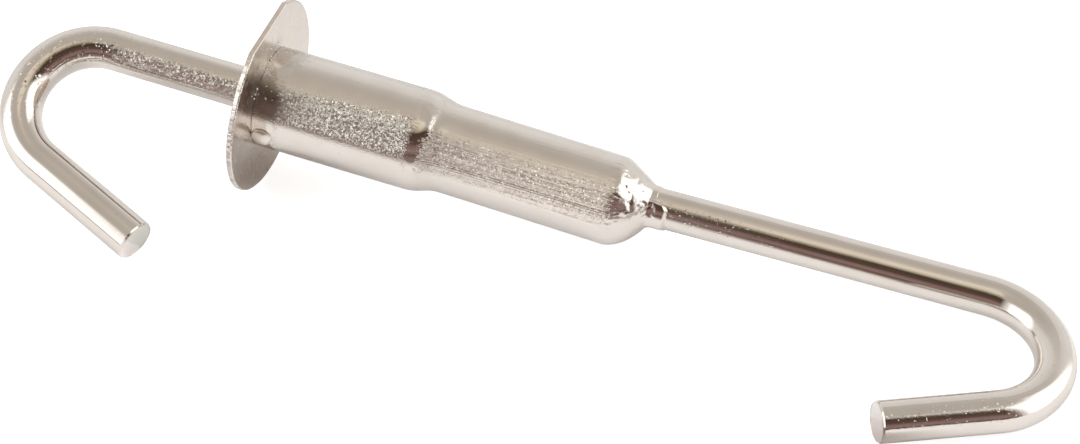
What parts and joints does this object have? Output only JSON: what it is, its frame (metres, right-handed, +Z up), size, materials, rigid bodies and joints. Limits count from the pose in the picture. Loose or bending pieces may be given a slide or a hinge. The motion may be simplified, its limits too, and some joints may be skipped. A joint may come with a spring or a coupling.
{
  "type": "trunk ventilation hook",
  "caption": "Steel double hook that holds a car's trunk lid ajar, with a sprung hook swivelling in a flanged tube housing.",
  "frame": {"origin": "centre of the bounding box, at the table top it lies on", "axes": "+X along the hook from the sprung front hook to the fixed rear hook, +Z up, both hooks open towards -Y"},
  "size_m": [0.202, 0.0582, 0.0354],
  "materials": {
    "nickel_tube": "nickel-plated drawn tube, grainy along its middle",
    "nickel_plate": "nickel-plated stamped sheet, satin",
    "nickel_wire": "nickel-plated round wire, bright",
    "weld_metal": "plated weld bead",
    "plain_steel": "plain turned washer",
    "spring_steel": "oiled spring wire"
  },
  "bodies": {
    "housing": {"spring_housing": "nickel_tube", "end_flange": "nickel_plate", "rear_hook": "nickel_wire", "tack_weld_1": "weld_metal", "tack_weld_2": "weld_metal", "tack_weld_3": "weld_metal", "compression_spring": "spring_steel"},
    "seat": {"spring_seat": "plain_steel"},
    "hook": {"front_hook": "nickel_wire"}
  },
  "joints": [
    {"name": "hook_pull", "type": "slide", "parent": "housing", "child": "seat", "axis": [-0.9929, 0, 0.119], "range_m": [0, 0.012], "stiffness_N_per_m": 2160, "springref_m": -0.004, "deforming": ["compression_spring"]},
    {"name": "hook_swivel", "type": "hinge", "parent": "seat", "child": "hook", "pos_m": [-0.02144, 0.01068, 0.01461], "axis": [0.9929, 0, -0.119], "continuous": true}
  ]
}
